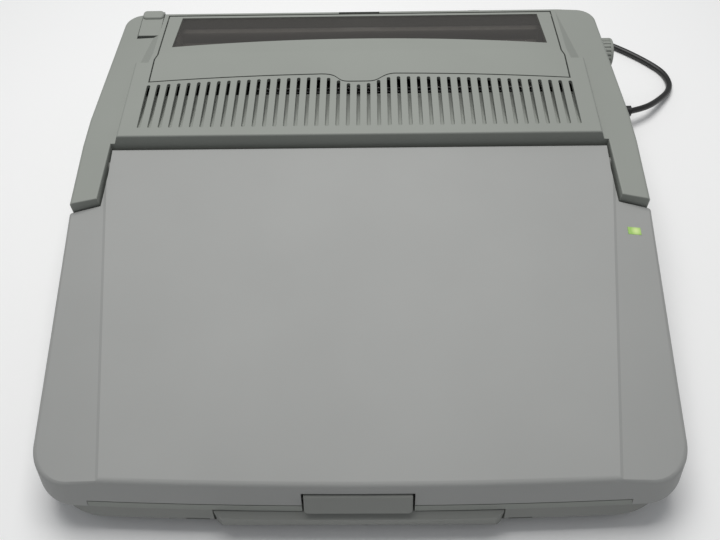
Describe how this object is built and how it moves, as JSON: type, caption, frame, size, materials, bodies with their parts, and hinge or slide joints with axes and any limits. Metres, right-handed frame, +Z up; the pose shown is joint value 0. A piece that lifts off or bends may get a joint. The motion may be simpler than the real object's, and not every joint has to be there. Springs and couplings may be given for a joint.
{
  "type": "word processor",
  "caption": "Portable word processor, shut: flat box with a hinged display lid over the keyboard, a printer under a windowed cover, a side knob, carrying handle and coiled mains lead.",
  "frame": {"origin": "on the plane under the rubber feet, below the middle of the machine's box with the lid shut, the mains lead left out", "axes": "+X to the right as the user sits, +Y to the rear, +Z up"},
  "size_m": [0.4828, 0.4989, 0.0947],
  "materials": {
    "case_plastic": "fine texture",
    "dark_grey_plastic": "fine texture",
    "black_plastic": "satin",
    "key_plastic": "satin",
    "dark_key_plastic": "satin",
    "smoked_window": "smoked",
    "screen_glass": "polished",
    "lamp_lens": "gloss",
    "foot_rubber": "matt",
    "platen_rubber": "ground",
    "steel": "ground",
    "zinc_sheet": "plated",
    "drive_metal": "plated",
    "motor_metal": "plated",
    "transformer_iron": "varnished",
    "board_green": "satin",
    "chip_black": "matt",
    "white_nylon": "satin",
    "cord_black": "satin",
    "belt_black": "matt"
  },
  "bodies": {
    "base": {"base_tray": "case_plastic", "rubber_feet": "foot_rubber", "base_screws": "steel", "rear_case": "case_plastic", "keyboard_deck": "case_plastic", "key_frame": "black_plastic", "key_backplate": "zinc_sheet", "main_board": "board_green", "board_chips": "chip_black", "power_board": "board_green", "power_transformer": "transformer_iron", "power_capacitors": "black_plastic", "mains_inlet": "black_plastic", "printer_frame": "zinc_sheet", "guide_rod": "steel", "carriage_motor": "motor_metal", "feed_motor": "motor_metal", "disk_drive": "drive_metal", "paper_guide": "zinc_sheet", "hinge_brackets": "dark_grey_plastic", "drive_belt": "belt_black", "inlet_plug": "cord_black", "mains_lead": "cord_black", "lead_coil": "cord_black", "mains_plug": "cord_black"},
    "lid": {"lid_shell": "case_plastic", "lid_bezel": "case_plastic", "display_glass": "screen_glass", "display_module": "drive_metal", "power_lamp": "lamp_lens", "lid_screws": "steel", "hinge_pins": "dark_grey_plastic"},
    "latch": {"lid_latch": "case_plastic"},
    "handle": {"handle_grip": "case_plastic", "handle_arms": "case_plastic"},
    "cover": {"printer_cover": "case_plastic", "cover_window": "smoked_window"},
    "release": {"release_lever": "case_plastic"},
    "platen": {"platen_roller": "platen_rubber", "platen_shaft": "steel", "platen_gear": "white_nylon", "feed_knob": "case_plastic"},
    "pinion": {"feed_pinion": "white_nylon"},
    "pinch": {"pinch_shaft": "steel", "pinch_rollers": "platen_rubber"},
    "head_carriage": {"carriage": "black_plastic", "print_head": "motor_metal", "ribbon_cassette": "black_plastic"},
    "left_pulley": {"drive_pulley": "white_nylon"},
    "right_pulley": {"return_pulley": "white_nylon"},
    "function_row": {"function_keys": "dark_key_plastic"},
    "number_row": {"number_keys": "key_plastic"},
    "top_letter_row": {"top_letter_keys": "key_plastic"},
    "home_row": {"home_keys": "key_plastic"},
    "bottom_letter_row": {"bottom_letter_keys": "key_plastic"},
    "modifier_row": {"modifier_keys": "dark_key_plastic"},
    "space_bar": {"space_bar": "key_plastic"},
    "eject": {"eject_button": "dark_grey_plastic"},
    "power": {"power_switch": "dark_grey_plastic"},
    "contrast": {"contrast_slider": "dark_grey_plastic"}
  },
  "joints": [
    {"name": "lid_hinge", "type": "hinge", "parent": "base", "child": "lid", "pos_m": [-0.00283, 0.03575, 0.07663], "axis": [-1, 0, 0], "range_deg": [0, 112]},
    {"name": "latch_pivot", "type": "hinge", "parent": "lid", "child": "latch", "pos_m": [-0.00283, -0.18775, 0.037], "axis": [-1, 0, 0], "range_deg": [0, 12], "stiffness_Nm_per_rad": 0.3, "springref_deg": -5.73},
    {"name": "handle_slide", "type": "slide", "parent": "base", "child": "handle", "axis": [0, -1, 0], "range_m": [0, 0.038]},
    {"name": "cover_hinge", "type": "hinge", "parent": "base", "child": "cover", "pos_m": [-0.00283, 0.19025, 0.08718], "axis": [-1, 0, 0], "range_deg": [0, 90]},
    {"name": "release_pivot", "type": "hinge", "parent": "base", "child": "release", "pos_m": [-0.17133, 0.17025, 0.084], "axis": [1, 0, 0], "range_deg": [0, 30]},
    {"name": "platen_spin", "type": "hinge", "parent": "base", "child": "platen", "pos_m": [-0.00283, 0.17225, 0.0635], "axis": [1, 0, 0], "continuous": true},
    {"name": "pinion_spin", "type": "hinge", "parent": "base", "child": "pinion", "pos_m": [-0.15543, 0.1497, 0.05529], "axis": [1, 0, 0], "continuous": true},
    {"name": "pinch_spin", "type": "hinge", "parent": "base", "child": "pinch", "pos_m": [-0.00283, 0.16113, 0.07675], "axis": [1, 0, 0], "continuous": true},
    {"name": "carriage_slide", "type": "slide", "parent": "base", "child": "head_carriage", "axis": [1, 0, 0], "range_m": [0, 0.236]},
    {"name": "left_pulley_spin", "type": "hinge", "parent": "base", "child": "left_pulley", "pos_m": [-0.14283, 0.12525, 0.049], "axis": [0, 0, 1], "continuous": true},
    {"name": "right_pulley_spin", "type": "hinge", "parent": "base", "child": "right_pulley", "pos_m": [0.13717, 0.12525, 0.049], "axis": [0, 0, 1], "continuous": true},
    {"name": "function_row_press", "type": "slide", "parent": "base", "child": "function_row", "axis": [0, 0.153, -0.9882], "range_m": [0, 0.003], "stiffness_N_per_m": 800, "springref_m": -0.001},
    {"name": "number_row_press", "type": "slide", "parent": "base", "child": "number_row", "axis": [0, 0.153, -0.9882], "range_m": [0, 0.003], "stiffness_N_per_m": 800, "springref_m": -0.001},
    {"name": "top_letter_row_press", "type": "slide", "parent": "base", "child": "top_letter_row", "axis": [0, 0.153, -0.9882], "range_m": [0, 0.003], "stiffness_N_per_m": 800, "springref_m": -0.001},
    {"name": "home_row_press", "type": "slide", "parent": "base", "child": "home_row", "axis": [0, 0.153, -0.9882], "range_m": [0, 0.003], "stiffness_N_per_m": 800, "springref_m": -0.001},
    {"name": "bottom_letter_row_press", "type": "slide", "parent": "base", "child": "bottom_letter_row", "axis": [0, 0.153, -0.9882], "range_m": [0, 0.003], "stiffness_N_per_m": 800, "springref_m": -0.001},
    {"name": "modifier_row_press", "type": "slide", "parent": "base", "child": "modifier_row", "axis": [0, 0.153, -0.9882], "range_m": [0, 0.003], "stiffness_N_per_m": 800, "springref_m": -0.001},
    {"name": "space_bar_press", "type": "slide", "parent": "base", "child": "space_bar", "axis": [0, 0.153, -0.9882], "range_m": [0, 0.003], "stiffness_N_per_m": 800, "springref_m": -0.001},
    {"name": "eject_press", "type": "slide", "parent": "base", "child": "eject", "axis": [-1, 0, 0], "range_m": [0, 0.004], "stiffness_N_per_m": 150, "springref_m": -0.001},
    {"name": "power_slide", "type": "slide", "parent": "base", "child": "power", "axis": [0, 1, 0], "range_m": [0, 0.004]},
    {"name": "contrast_slide", "type": "slide", "parent": "base", "child": "contrast", "axis": [1, 0, 0], "range_m": [-0.004, 0.004]}
  ],
  "couplings": [
    {"joint": "pinion_spin", "follows": "platen_spin", "ratio": -4},
    {"joint": "pinch_spin", "follows": "platen_spin", "ratio": -2.4},
    {"joint": "left_pulley_spin", "follows": "carriage_slide", "rad_per_m": -166.67},
    {"joint": "right_pulley_spin", "follows": "carriage_slide", "rad_per_m": -166.67}
  ]
}
